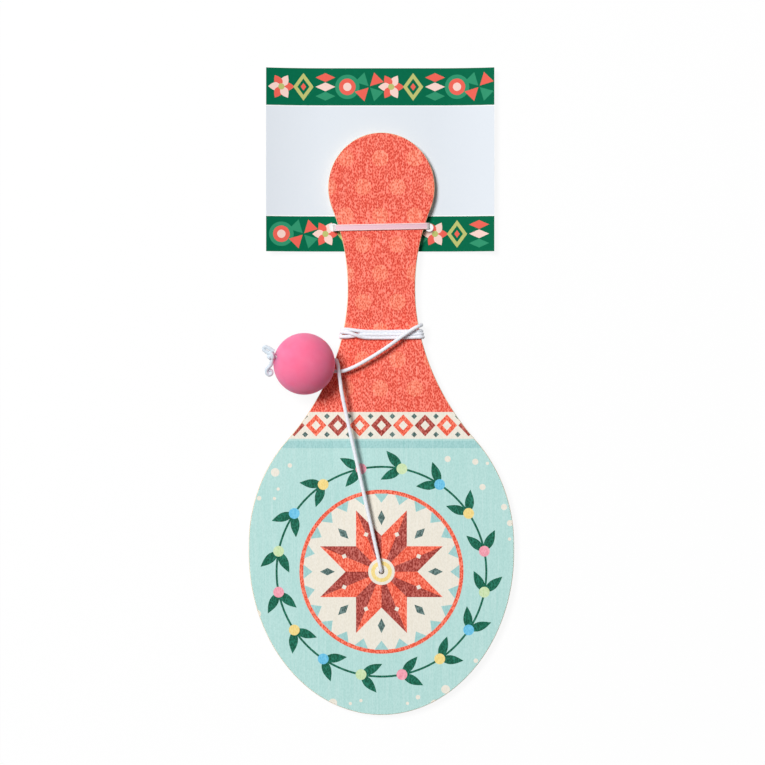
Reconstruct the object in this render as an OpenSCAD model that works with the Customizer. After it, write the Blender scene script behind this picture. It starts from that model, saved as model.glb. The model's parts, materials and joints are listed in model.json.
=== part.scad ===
// Paddle ball game: a flat wooden paddle, a rubber ball on an elastic cord that is
// wound round the handle, and a printed card strapped to the handle.
// The paddle lies face up: +Z is out of its face, +Y runs from the blade to the handle.
// All lengths are in millimetres.

/* [Paddle] */
// Length from the blade's end to the knob's end
paddle_l = 280.5; // [240:0.5:320]
// Widest width of the blade
blade_w = 127.8; // [110:0.1:140]
// Length of the blade's rounded end, from its tip to its widest line
blade_end_l = 78; // [68:0.5:90]
// Length of the straight stretch at the blade's widest
blade_flat_l = 4; // [2:0.5:8]
// Reach of the ellipse that the blade's sides follow above the straight stretch
blade_side_l = 71.5; // [65:0.5:80]
// Share of that reach at which the sides start to run out into the handle
flare_share = 0.708; // [0.6:0.005:0.8]
// Width of the handle at its neck
neck_w = 32.5; // [28:0.5:36]
// Distance of the neck line from the knob's end
neck_from_top = 75.3; // [68:0.1:82]
// Width of the oval knob at the handle's end
knob_w = 51.4; // [44:0.1:58]
// Length of the knob's oval
knob_l = 53; // [46:0.5:60]
// Angle below the knob's middle at which its oval runs out into the neck
knob_leave_angle = 22; // [10:0.1:30]
// Length of the curve's pull at the neck, towards the blade
neck_pull_l = 31; // [25:0.5:38]
// Length of the curve's pull at the blade's side
side_pull_l = 15; // [10:0.5:22]
// Length of the curve's pull at the neck, towards the knob
knob_neck_pull_l = 15.5; // [10:0.5:20]
// Length of the curve's pull at the knob
knob_pull_l = 13; // [8:0.1:16]
// Thickness of the printed front ply
front_ply_t = 0.9; // [0.7:0.1:1.1]
// Thickness of the core ply
core_ply_t = 1.8; // [1.5:0.1:2.1]
// Thickness of the back ply
back_ply_t = 0.9; // [0.7:0.1:1.1]
// Distance of the cord hole from the blade's end
hole_from_end = 69; // [60:0.5:75]
// Diameter of the cord hole
hole_d = 2.6; // [2.4:0.1:4]
// Diameter of the knot's recess in the back
recess_d = 7.5; // [7:0.1:10]
// Depth of the knot's recess
recess_depth = 1.8; // [1.6:0.1:2]

/* [Cord] */
// Diameter of the elastic cord
cord_d = 1.8; // [1.4:0.1:2.1]
// Gap between the wound cord and the paddle's faces
cord_gap = 0.3; // [0.25:0.05:0.5]
// Gap between the wound cord and the paddle's edges
cord_edge_gap = 0.6; // [0.6:0.05:1]
// Radius of the wound cord's bend at a corner of the handle
cord_bend_r = 2; // [1.8:0.1:2.2]
// Pitch of the turns round the handle
wind_pitch = 2.25; // [2.25:0.01:2.6]
// Where the first turn leaves the handle's left edge, measured from the middle of the length
wind_start_y = 14.8; // [14.6:0.1:18]
// Where the first front strand starts at the handle's right edge
wind_first_y = 25.3; // [22:0.1:30]
// Clearance of the lowest strand over the table
floor_gap = 0.1; // [0.1:0.05:0.4]
// Clearance between the cord's lead and the stretch that the ball turns on
lead_gap = 0.9; // [0.8:0.05:1.05]

/* [Ball] */
// Diameter of the rubber ball
ball_d = 29.5; // [26:0.1:35]
// Clearance between the ball and the handle's edge
ball_gap = 1.1; // [0.8:0.05:2]
// Lengthways place of the ball's centre
ball_y = 13; // [11:0.1:15]
// Diameter of the bore that the cord runs through
bore_d = 2.8; // [2.6:0.1:3.4]
// Compass direction of the bore, from the handle outwards
bore_turn = 166.9; // [166:0.1:168]
// Slope of the bore, rising outwards
bore_tilt = 18; // [17:0.1:19]
// Distance from the ball's face to the point where the cord bends
pivot_reach = 1.35; // [1.3:0.05:1.6]
// Clearance between the ball and its knot
knot_gap = 0.4; // [0.3:0.05:0.6]
// Diameter of the ball's knot
knot_d = 4.8; // [4:0.1:5.6]
// Length of the ball's knot
knot_l = 3.4; // [3:0.1:4.4]
// Radius on the edges of both knots
knot_edge_r = 1.2; // [0.8:0.1:1.4]
// Diameter of the knot behind the blade
anchor_d = 5.6; // [5:0.1:6.4]
// Height of the knot behind the blade
anchor_h = 3.4; // [3:0.1:3.6]

/* [Card] */
// Width of the card
card_w = 110; // [90:0.5:125]
// Height of the card
card_h = 88.6; // [80:0.1:100]
// Thickness of the card
card_t = 0.4; // [0.3:0.05:0.5]
// How far the card stands above the knob's end
card_rise = 31.5; // [24:0.5:40]
// Sideways offset of the card
card_x = -0.6; // [-2:0.1:2]
// Width of the card's flat middle, behind the handle
card_flat_w = 54; // [53:0.5:58]
// How far the card's sides curl up
card_curl = 3; // [2:0.1:4]
// Clearance between the card and the paddle's back
card_gap = 0.35; // [0.3:0.05:0.4]
// Clearance of the strap in the card's punched holes
card_hole_gap = 0.36; // [0.2:0.01:0.8]

/* [Strap] */
// Width of the strap
strap_w = 3.2; // [2.4:0.1:4]
// Thickness of the strap
strap_t = 0.7; // [0.5:0.05:0.9]
// Clearance of the strap beside the handle's edges
strap_side_gap = 1.1; // [0.6:0.05:2]
// Clearance of the strap over the paddle's face
strap_gap = 0.3; // [0.3:0.05:0.6]
// Inner radius of the strap's corners
strap_bend_r = 0.9; // [0.6:0.1:1.2]
// Distance of the strap from the knob's end
strap_from_top = 45.5; // [40:0.5:55]
// Tilt of the strap across the handle
strap_tilt = 1.2; // [0:0.1:1.5]
// Length of the welded lap behind the card
lap_l = 14; // [8:0.5:20]

/* [Hidden] */
// Sides of the cord's tube
cord_sides = 8;
// Sides of the wound tube
turn_sides = 6;
// Full turns, before the last half turn that ends at the right edge
full_turns = 3;
// Steps in the paddle's outline: blade end, blade side, flare, neck and knob
end_steps = 30;
side_steps = 12;
flare_steps = 18;
neck_steps = 10;
knob_steps = 20;
// Steps in the card's curl
curl_steps = 10;
// How far a cutting shape runs past the face that it cuts
cut_over = 1;
// Half of a full turn, a quarter turn and a full turn in degrees
half_turn = 180;
quarter_turn = 90;
full_turn = 360;

// Heights: the table is at zero
back_z = floor_gap + cord_d + cord_gap;
core_z = back_z + back_ply_t;
front_z = core_z + core_ply_t;
top_z = front_z + front_ply_t;
mid_z = (back_z + top_z) / 2;
card_z = back_z - card_gap - card_t;

// Lengthways places, from the middle of the whole length
end_y = -(paddle_l + card_rise) / 2;
knob_end_y = end_y + paddle_l;
wide_y = end_y + blade_end_l;
side_y = wide_y + blade_flat_l;
neck_y = knob_end_y - neck_from_top;
knob_y = knob_end_y - knob_l / 2;
card_top_y = knob_end_y + card_rise;
hole_y = end_y + hole_from_end;

// The paddle's right-hand outline, from the blade's end to the knob's end
half_blade = blade_w / 2;
half_neck = neck_w / 2;
flare_rise = blade_side_l * flare_share;
flare_x = half_blade * sqrt(1 - flare_share * flare_share);
flare_y = side_y + flare_rise;
flare_slope = half_blade * flare_share / (blade_side_l * sqrt(1 - flare_share * flare_share));
knob_leave = [knob_w / 2 * cos(knob_leave_angle), knob_y - knob_l / 2 * sin(knob_leave_angle)];
knob_pull = -knob_pull_l * unit([knob_w * sin(knob_leave_angle), knob_l * cos(knob_leave_angle)]);

function bezier(a, b, c, d, t) =
    (1 - t) * (1 - t) * (1 - t) * a + 3 * (1 - t) * (1 - t) * t * b
    + 3 * (1 - t) * t * t * c + t * t * t * d;

end_points = [for (i = [0 : end_steps])
    [half_blade * sin(quarter_turn * i / end_steps), wide_y - blade_end_l * cos(quarter_turn * i / end_steps)]];

side_angle = asin(flare_share);

side_points = [for (i = [0 : side_steps - 1])
    [half_blade * cos(side_angle * i / side_steps), side_y + blade_side_l * sin(side_angle * i / side_steps)]];

flare_points = [for (i = [0 : flare_steps - 1])
    bezier([flare_x, flare_y],
        [flare_x - flare_slope * side_pull_l, flare_y + side_pull_l],
        [half_neck, neck_y - neck_pull_l],
        [half_neck, neck_y], i / flare_steps)];

neck_points = [for (i = [0 : neck_steps - 1])
    bezier([half_neck, neck_y],
        [half_neck, neck_y + knob_neck_pull_l],
        knob_leave + knob_pull,
        knob_leave, i / neck_steps)];

knob_points = [for (i = [0 : knob_steps])
    let (a = -knob_leave_angle + (quarter_turn + knob_leave_angle) * i / knob_steps)
    [knob_w / 2 * cos(a), knob_y + knob_l / 2 * sin(a)]];

right_points = concat(end_points, side_points, flare_points, neck_points, knob_points);

left_points = [for (i = [len(right_points) - 2 : -1 : 1]) [-right_points[i][0], right_points[i][1]]];

outline = concat(right_points, left_points);

// Half width of the handle at a place along it, for the turns of cord, the ball and the strap
handle_table = [for (p = concat(flare_points, neck_points, [knob_points[0]])) [p[1], p[0]]];

function handle_half(y) = lookup(y, handle_table);

// The ball lies on the table, clear of the handle's upper edge
ball_r = ball_d / 2;
ball_reach = sqrt(ball_r * ball_r - (ball_r - top_z) * (ball_r - top_z));
edge_lean = (handle_half(ball_y - cord_d) - handle_half(ball_y + cord_d)) / (2 * cord_d);
ball_x = -handle_half(ball_y) - (ball_reach + ball_gap) * sqrt(1 + edge_lean * edge_lean);

// Its bore, and the point where the cord bends
ball_c = [ball_x, ball_y, ball_r];
bore_dir = [cos(bore_turn) * cos(bore_tilt), sin(bore_turn) * cos(bore_tilt), sin(bore_tilt)];
pivot_at = ball_r + pivot_reach;
lead_end = ball_c - bore_dir * (pivot_at + lead_gap / 2);
knot_at = ball_r + knot_gap;
knot_seat = ball_c + bore_dir * knot_at;

// The cord's route from the hole to the handle's left edge, hand-chosen points
run_route = [
    [0, -87, 4.8], [-0.1, -86.6, 6.4], [-0.5, -85, 7.5], [-1.4, -80.8, 8],
    [-4, -69.2, 8.7], [-8, -51.2, 9.7], [-12, -33.2, 10.6], [-16, -15.2, 11.5],
    [-18.8, -1.8, 12.1], [-19.8, 5, 12.2], [-20.4, 9.2, 12], [-20.7, 11.2, 11.3],
    [-21, 12.7, 9.8], [-21.3, 13.8, 8.3]
];

// The cord's route from the last turn to the bend beside the ball, hand-chosen points
lead_route = [
    [19.2, 31.8, 6.6], [18.6, 31.5, 8], [17.2, 30.9, 9.1], [15, 29.7, 9.6],
    [12, 27.7, 9.8], [8.5, 25.3, 9.9], [4, 22, 10], [-0.7, 18.8, 10.1],
    [-6, 15.5, 10], [-11.3, 12.5, 9.9], [-15, 10.8, 9.7], [-18, 9.7, 9.6],
    [-19.8, 9.5, 9.6]
];

// The short tail behind the blade, and the loop and the tail at the ball, which are measured
// from the seat of the ball's knot, hand-chosen points
anchor_tail_route = [[0, -87, 1.6], [1.6, -86.2, 1.3], [3.4, -85.2, 1.2], [5.2, -84.6, 1.2], [7, -84.6, 1.2]];

knot_loop_route = [
    [-0.1, 2.7, 0.9], [-1.6, 3.6, 0.8], [-3.2, 4.5, 0.5], [-4.3, 4.8, 0.3],
    [-4.9, 4.3, 0.1], [-5, 3.5, 0.1], [-4.2, 2.7, 0.2], [-2.7, 1.8, 0.4], [-1.3, 0.9, 0.5]
];

knot_tail_route = [
    [-0.9, -0.9, 0.4], [-1.3, -2.4, 0.1], [-1.7, -3.8, -0.5], [-2.8, -4.9, -1],
    [-3.7, -6.1, -1.5], [-3.7, -7.6, -2], [-2.6, -8.5, -2.4], [-1.5, -7.9, -2.5]
];

// A smooth curve through a route's points, two steps to each stretch
function smooth_at(p, i, t) =
    let (a = p[max(i - 1, 0)], b = p[i], c = p[i + 1], d = p[min(i + 2, len(p) - 1)])
    0.5 * (2 * b + (c - a) * t + (2 * a - 5 * b + 4 * c - d) * t * t + (3 * b - a - 3 * c + d) * t * t * t);

function smooth_route(p) = concat(
    [for (i = [0 : len(p) - 2]) each [smooth_at(p, i, 0), smooth_at(p, i, 0.5)]],
    [p[len(p) - 1]]);

function unit(v) = v / norm(v);

function tangent(p, i) = unit(p[min(i + 1, len(p) - 1)] - p[max(i - 1, 0)]);

// A side direction that is carried along the route without twisting
function start_side(t) = unit(cross(t, abs(t[2]) < 0.8 ? [0, 0, 1] : [1, 0, 0]));

function carried(s, t) = unit(s - (s * t) * t);

function sides_along(p) = [
    for (i = 0, s = start_side(tangent(p, 0)); i < len(p);
        i = i + 1, s = i < len(p) ? carried(s, tangent(p, i)) : s) s];

function ring_points(p, n, d) =
    let (sides = sides_along(p))
    [for (i = [0 : len(p) - 1])
        let (s = sides[i], u = cross(tangent(p, i), s))
        for (k = [0 : n - 1])
            p[i] + d / 2 * (cos(full_turn * k / n) * s + sin(full_turn * k / n) * u)];

function ring_faces(count, n) = concat(
    [for (k = [1 : n - 2]) [0, k, k + 1]],
    [for (i = [0 : count - 2]) for (k = [0 : n - 1]) each [
        [i * n + k, (i + 1) * n + k, (i + 1) * n + (k + 1) % n],
        [i * n + k, (i + 1) * n + (k + 1) % n, i * n + (k + 1) % n]]],
    [for (k = [1 : n - 2]) [(count - 1) * n, (count - 1) * n + k + 1, (count - 1) * n + k]]);

module tube(path, n, d) {
    polyhedron(points = ring_points(path, n, d), faces = ring_faces(len(path), n), convexity = 10);
}

// The turns: each goes round the left edge, behind the handle, round the right edge and across the front
turn_half_h = (top_z - back_z) / 2 + cord_gap + cord_d / 2;
bend_z = turn_half_h - cord_bend_r;
corner_steps = 4;
flat_steps = 4;
turn_steps = 4 * corner_steps + 2 * flat_steps;
// Shares of the pitch gained at each edge, behind the handle and across the front
edge_share = 0.1;
back_share = 0.6;
front_share = 0.2;

function bend_x(y) = handle_half(y) + cord_edge_gap + cord_d / 2 - cord_bend_r;

// Share of the pitch gained by a step of a turn
function gained(j) =
    j < 2 * corner_steps ? edge_share * j / (2 * corner_steps)
    : j < 2 * corner_steps + flat_steps
        ? edge_share + back_share * (j - 2 * corner_steps + 1) / (flat_steps + 1)
    : j < 4 * corner_steps + flat_steps
        ? edge_share + back_share + edge_share * (j - 2 * corner_steps - flat_steps) / (2 * corner_steps)
    : 2 * edge_share + back_share + front_share * (j - 4 * corner_steps - flat_steps + 1) / (flat_steps + 1);

right_gained = edge_share + back_share + edge_share;

// Place along the handle: the first turn climbs from its start to the first strand
function turn_y(turn, j) =
    turn == 0 && gained(j) < right_gained
        ? wind_start_y + (wind_first_y - wind_start_y) * gained(j) / right_gained
        : wind_first_y + wind_pitch * (turn + gained(j) - right_gained);

function corner_angle(j) = quarter_turn * (j % corner_steps) / (corner_steps - 1);

// Place in the handle's cross-section
function turn_xz(j, x) =
    j < corner_steps
        ? [-x - cord_bend_r * sin(corner_angle(j)), bend_z + cord_bend_r * cos(corner_angle(j))]
    : j < 2 * corner_steps
        ? [-x - cord_bend_r * cos(corner_angle(j)), -bend_z - cord_bend_r * sin(corner_angle(j))]
    : j < 2 * corner_steps + flat_steps
        ? [-x + 2 * x * (j - 2 * corner_steps + 1) / (flat_steps + 1), -turn_half_h]
    : j < 3 * corner_steps + flat_steps
        ? [x + cord_bend_r * sin(corner_angle(j - flat_steps)),
            -bend_z - cord_bend_r * cos(corner_angle(j - flat_steps))]
    : j < 4 * corner_steps + flat_steps
        ? [x + cord_bend_r * cos(corner_angle(j - flat_steps)),
            bend_z + cord_bend_r * sin(corner_angle(j - flat_steps))]
    : [x - 2 * x * (j - 4 * corner_steps - flat_steps + 1) / (flat_steps + 1), turn_half_h];

function turn_point(turn, j) =
    let (y = turn_y(turn, j), q = turn_xz(j, bend_x(y)))
    [q[0], y, mid_z + q[1]];

// The last half turn stops on its way up the right edge
last_step = 3 * corner_steps + flat_steps;

// The first turn starts along the run, and the last ends upwards beside the right edge
winding_path = concat(
    [for (turn = [0 : full_turns]) for (j = [0 : turn_steps - 1])
        if (turn < full_turns || j <= last_step) turn_point(turn, j)]);

winding_start = winding_path[0];
winding_end = winding_path[len(winding_path) - 1];

// Least gap of the winding to itself, over points that are more than half a turn apart
turn_gap = min([for (i = [0 : len(winding_path) - 1]) for (k = [i + turn_steps / 2 : 1 : len(winding_path) - 1])
    norm(winding_path[i] - winding_path[k])]) - cord_d;
echo(turn_gap = turn_gap, ball_c = ball_c, pivot = ball_c - bore_dir * pivot_at, strap_in_x = strap_in_x);

run_start = [0, hole_y, back_z + recess_depth];
run_path = concat([run_start], smooth_route(concat(run_route, [winding_start])));
lead_path = smooth_route(concat([winding_end], lead_route, [lead_end]));

// The strap's loop, wide enough for the handle at the strap's upper end
strap_y = knob_end_y - strap_from_top;
strap_in_x = handle_half(strap_y + strap_w) + strap_side_gap;
strap_clear_w = 2 * strap_in_x;
card_hole_d = norm([strap_w, strap_t]) + 2 * card_hole_gap;
strap_top_z = top_z + strap_gap;
strap_low_z = card_z - strap_t;
strap_mid_z = (strap_top_z + strap_low_z) / 2;
strap_in_h = strap_top_z - strap_low_z - strap_t;

module ply(z, t) {
    translate([0, 0, z])
        linear_extrude(height = t)
            polygon(outline);
}

module cord_hole() {
    translate([0, hole_y, back_z - cut_over])
        cylinder(h = top_z - back_z + 2 * cut_over, d = hole_d, $fn = 40);
}

module knot_recess() {
    translate([0, hole_y, back_z - cut_over])
        cylinder(h = recess_depth + cut_over, d = recess_d, $fn = 60);
}

module paddle_front_ply() {
    color("#f07a64")
        difference() {
            ply(front_z, front_ply_t);
            cord_hole();
        }
}

module paddle_core_ply() {
    color("#d9b98a")
        difference() {
            ply(core_z, core_ply_t);
            cord_hole();
            knot_recess();
        }
}

module paddle_back_ply() {
    color("#e3c9a0")
        difference() {
            ply(back_z, back_ply_t);
            knot_recess();
        }
}

// A knot's drum: rounded edges, flat where it seats
module knot_drum(d, h) {
    rotate_extrude($fn = 48) {
        difference() {
            square([d / 2, h]);
            translate([d / 2 - knot_edge_r, h - knot_edge_r])
                difference() {
                    square([knot_edge_r + cut_over, knot_edge_r + cut_over]);
                    circle(r = knot_edge_r, $fn = 32);
                }
        }
    }
}

module anchor_knot() {
    color("#f4f2ee")
        union() {
            translate([0, hole_y, back_z + recess_depth])
                rotate([half_turn, 0, 0])
                    knot_drum(anchor_d, anchor_h);
            tube(smooth_route(anchor_tail_route), cord_sides, cord_d);
        }
}

module cord_run() {
    color("#f7f6f2")
        tube(run_path, cord_sides, cord_d);
}

module cord_winding() {
    color("#f7f6f2")
        tube(winding_path, turn_sides, cord_d);
}

module cord_lead() {
    color("#f7f6f2")
        tube(lead_path, cord_sides, cord_d);
}

// Turns +Z to the bore's direction at the ball's centre
module along_bore() {
    translate(ball_c)
        rotate([0, 0, bore_turn])
            rotate([0, quarter_turn - bore_tilt, 0])
                children();
}

module ball_cord() {
    color("#f7f6f2")
        along_bore()
            translate([0, 0, lead_gap / 2 - pivot_at])
                cylinder(h = pivot_at - lead_gap / 2 + knot_at - knot_gap / 2, d = cord_d, $fn = 32);
}

module ball_knot() {
    color("#f4f2ee")
        union() {
            along_bore()
                translate([0, 0, knot_at])
                    knot_drum(knot_d, knot_l);
            tube(smooth_route([for (p = knot_loop_route) knot_seat + p]), cord_sides, cord_d);
            tube(smooth_route([for (p = knot_tail_route) knot_seat + p]), cord_sides, cord_d);
        }
}

module ball() {
    color("#fb6f93")
        along_bore()
            difference() {
                sphere(d = ball_d, $fn = 96);
                cylinder(h = ball_d + 2 * cut_over, d = bore_d, center = true, $fn = 40);
            }
}

// The card's curled edge line, from its middle to a side
half_card = card_w / 2;
curl_w = half_card - card_flat_w / 2;

function curl_z(x) = x <= card_flat_w / 2 ? 0 : card_curl * pow((x - card_flat_w / 2) / curl_w, 2);

card_xs = concat([-half_card], [for (i = [1 : curl_steps]) -half_card + curl_w * i / curl_steps],
    [for (i = [0 : curl_steps]) card_flat_w / 2 + curl_w * i / curl_steps]);

card_under = [for (x = card_xs) [card_x + x, card_z + curl_z(abs(x))]];

card_over = [for (i = [len(card_xs) - 1 : -1 : 0])
    [card_x + card_xs[i], card_z + card_t + curl_z(abs(card_xs[i]))]];

module card() {
    color("#e8ecf4")
        difference() {
            translate([0, card_top_y, 0])
                rotate([quarter_turn, 0, 0])
                    linear_extrude(height = card_h)
                        polygon(concat(card_under, card_over));
            for (side = [-1, 1])
                translate([side * (strap_in_x + strap_t / 2), strap_y, card_z - cut_over])
                    cylinder(h = card_t + card_curl + 2 * cut_over, d = card_hole_d, $fn = 48);
        }
}

module rounded_box(w, h, r) {
    union() {
        square([w - 2 * r, h], center = true);
        square([w, h - 2 * r], center = true);
        for (x = [-1, 1])
            for (z = [-1, 1])
                translate([x * (w / 2 - r), z * (h / 2 - r)])
                    circle(r = r, $fn = 40);
    }
}

module strap() {
    color("#f3eef0")
        translate([0, strap_y, strap_mid_z + strap_t / 2])
            rotate([0, 0, strap_tilt])
                union() {
                    rotate([quarter_turn, 0, 0])
                        linear_extrude(height = strap_w, center = true)
                            difference() {
                                rounded_box(strap_clear_w + 2 * strap_t, strap_in_h + 2 * strap_t,
                                    strap_bend_r + strap_t);
                                rounded_box(strap_clear_w, strap_in_h, strap_bend_r);
                            }
                    translate([-lap_l / 2, -strap_w / 2, -strap_in_h / 2 - 2 * strap_t])
                        cube([lap_l, strap_w, strap_t]);
                }
}

paddle_front_ply();
paddle_core_ply();
paddle_back_ply();
anchor_knot();
cord_run();
cord_winding();
cord_lead();
ball_cord();
ball_knot();
ball();
card();
strap();
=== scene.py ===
import json
import math
import random

import bmesh
import bpy
import numpy as np
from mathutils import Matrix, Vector
from mathutils.geometry import delaunay_2d_cdt


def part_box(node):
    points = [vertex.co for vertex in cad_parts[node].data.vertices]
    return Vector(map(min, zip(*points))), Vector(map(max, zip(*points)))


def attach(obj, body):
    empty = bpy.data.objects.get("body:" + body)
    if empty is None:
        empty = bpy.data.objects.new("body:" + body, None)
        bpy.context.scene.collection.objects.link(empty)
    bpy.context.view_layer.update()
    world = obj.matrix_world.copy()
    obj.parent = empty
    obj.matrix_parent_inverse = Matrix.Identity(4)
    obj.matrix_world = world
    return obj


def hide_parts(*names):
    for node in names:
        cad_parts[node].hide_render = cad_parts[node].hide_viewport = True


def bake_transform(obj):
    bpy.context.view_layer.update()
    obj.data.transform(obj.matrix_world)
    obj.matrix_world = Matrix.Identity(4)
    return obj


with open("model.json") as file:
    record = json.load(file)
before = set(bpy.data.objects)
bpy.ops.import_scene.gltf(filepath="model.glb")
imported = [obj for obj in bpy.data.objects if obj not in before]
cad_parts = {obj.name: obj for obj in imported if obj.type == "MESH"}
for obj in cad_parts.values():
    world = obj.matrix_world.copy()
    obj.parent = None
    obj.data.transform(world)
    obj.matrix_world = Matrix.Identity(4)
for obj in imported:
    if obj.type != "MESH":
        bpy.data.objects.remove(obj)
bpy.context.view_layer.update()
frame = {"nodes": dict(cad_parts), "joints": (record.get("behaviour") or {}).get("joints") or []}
mm = 0.001  # lists of points are in millimetres, meshes in metres


# Small tools

def linear(hexText, alpha=1.0):
    parts = [int(hexText[i:i + 2], 16) / 255 for i in (1, 3, 5)]
    flat = [p / 12.92 if p <= 0.04045 else ((p + 0.055) / 1.055) ** 2.4 for p in parts]
    return (*flat, alpha)


def addNode(tree, kind, settings=None, inputs=None):
    node = tree.nodes.new(kind)
    for key, value in (settings or {}).items():
        setattr(node, key, value)
    for key, value in (inputs or {}).items():
        if isinstance(value, bpy.types.NodeSocket):
            tree.links.new(value, node.inputs[key])
        else:
            node.inputs[key].default_value = value
    return node


def newMaterial(name):
    material = bpy.data.materials.new(name)
    material.use_nodes = True
    material.node_tree.nodes.clear()
    return material, material.node_tree


def addPiece(name, mesh, body=None, replaced=()):
    piece = bpy.data.objects.new(name, mesh)
    bpy.context.scene.collection.objects.link(piece)
    if body:
        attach(piece, body)
    if replaced:
        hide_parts(*replaced)
    return piece


def smoothLine(points, steps=8, closed=False):
    # a Catmull-Rom curve through the given points
    p = np.array(points, float)
    count = len(p)
    t = np.arange(steps)[:, None] / steps
    line = []
    for i in range(count if closed else count - 1):
        pick = [(i + k) % count if closed else min(max(i + k, 0), count - 1) for k in (-1, 0, 1, 2)]
        a, b, c, d = p[pick]
        line.append(0.5 * (2 * b + (c - a) * t + (2 * a - 5 * b + 4 * c - d) * t ** 2
                           + (3 * b - a - 3 * c + d) * t ** 3))
    return np.concatenate(line + ([] if closed else [p[-1:]]))


# The camera looks straight down on the paddle, as in the photograph
cameraView = {"x": 0.5, "y": 4.1, "height": 1029, "lens": 100, "sensor": 36}  # mm


def makeCamera():
    data = bpy.data.cameras.new("camera")
    data.lens = cameraView["lens"]
    data.sensor_width = cameraView["sensor"]
    camera = bpy.data.objects.new("camera", data)
    bpy.context.scene.collection.objects.link(camera)
    camera.location = Vector((cameraView["x"], cameraView["y"], cameraView["height"])) * mm
    bpy.context.scene.camera = camera


makeCamera()
print("camera: ready")


# The paddle's outline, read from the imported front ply

def faceLoops(node):
    # border loops of a node's highest flat face, longest first, counter-clockwise, in mm
    bm = bmesh.new()
    bm.from_mesh(frame["nodes"][node].data)
    bmesh.ops.remove_doubles(bm, verts=bm.verts, dist=1e-6)
    top = max(v.co.z for v in bm.verts)
    flat = {f for f in bm.faces if min(v.co.z for v in f.verts) > top - 1e-6}
    beside = {}
    for edge in bm.edges:
        if sum(f in flat for f in edge.link_faces) == 1:
            a, b = edge.verts
            beside.setdefault(a, []).append(b)
            beside.setdefault(b, []).append(a)
    loops = []
    while beside:
        here = next(iter(beside))
        loop = []
        while here in beside:
            loop.append((here.co.x / mm, here.co.y / mm))
            near = beside.pop(here)
            here = near[0] if near[0] in beside else near[1]
        x, y = np.array(loop).T
        turning = np.sum(x * np.roll(y, -1) - y * np.roll(x, -1))
        loops.append(np.array(loop)[::1 if turning > 0 else -1])
    bm.free()
    return sorted(loops, key=len, reverse=True)


paddleLoops = faceLoops("paddle_front_ply")
outline = smoothLine(paddleLoops[0], 2, closed=True)
frontBox, backBox, cardBox, strapBox = (
    [np.array(corner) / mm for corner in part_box(n)]
    for n in ("paddle_front_ply", "paddle_back_ply", "card", "strap"))
topZ = frontBox[1][2]
backZ = backBox[0][2]
holeAt = np.array(paddleLoops[1]).mean(0)


def handleHalf(y):
    side = outline[(outline[:, 0] > 0) & (outline[:, 1] > 0)]
    side = side[np.argsort(side[:, 1])]
    return float(np.interp(y, side[:, 1], side[:, 0]))


# The elastic cord: from the hole, round the handle, and over the turns to the ball

joints = {j["name"]: j for j in frame["joints"]}
boreDir = np.array(joints["ball_spin"]["axis"])
ballAt = np.array(joints["ball_spin"]["pos_m"]) / mm
bendAt = np.array(joints["ball_lift"]["pos_m"]) / mm
ballRadius = float(np.ptp([corner[2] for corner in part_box("ball")])) / 2 / mm

cord = {"diameter": 1.8, "ringSpacing": 0.2, "sides": 24, "carriers": 6, "braidPitch": 3.6,
        "braidLift": 0.07, "bendLength": 7}  # mm

runRoute = [  # mm, as in the part's source
    (0, -87, 4.8), (-0.1, -86.6, 6.4), (-0.5, -85, 7.5), (-1.4, -80.8, 8),
    (-4, -69.2, 8.7), (-8, -51.2, 9.7), (-12, -33.2, 10.6), (-16, -15.2, 11.5),
    (-18.8, -1.8, 12.1), (-19.8, 5, 12.2), (-20.4, 9.2, 12), (-20.7, 11.2, 11.3),
    (-21, 12.7, 9.8), (-21.3, 13.8, 8.3)]

leadRoute = [
    (19.2, 31.8, 6.6), (18.6, 31.5, 8), (17.2, 30.9, 9.1), (15, 29.7, 9.6),
    (12, 27.7, 9.8), (8.5, 25.3, 9.9), (4, 22, 10), (-0.7, 18.8, 10.1),
    (-6, 15.5, 10), (-11.3, 12.5, 9.9), (-15, 10.8, 9.7), (-18, 9.7, 9.6),
    (-19.8, 9.5, 9.6)]

winding = {
    "leftUpY": (14.8, 28.3, 26.1, 29.7),    # where each turn reaches the handle's left edge
    "leftLowY": (14.8, 26.0, 27.6, 29.7),   # and leaves it behind; the second and third cross there
    "leftOut": (0, -0.2, -0.5, -0.25),
    "rightY": (26.0, 27.45, 28.9, 31.6),    # where it passes the right edge
    "faceGap": 0.25, "edgeGap": -0.05, "bendRadius": 1.7, "flatSteps": 16, "sag": 0.35,
    "stretched": 0.86, "thinned": 0.1,      # share of the slack width, and what the bends take off it
    "strandLift": (0, 0.45, 0),             # the middle strand is squeezed up between the others
    "crossFrom": 0.7, "crossLift": (1.55, 0, 0), "crossAt": 0.87, "crossWidth": 0.1}


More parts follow.
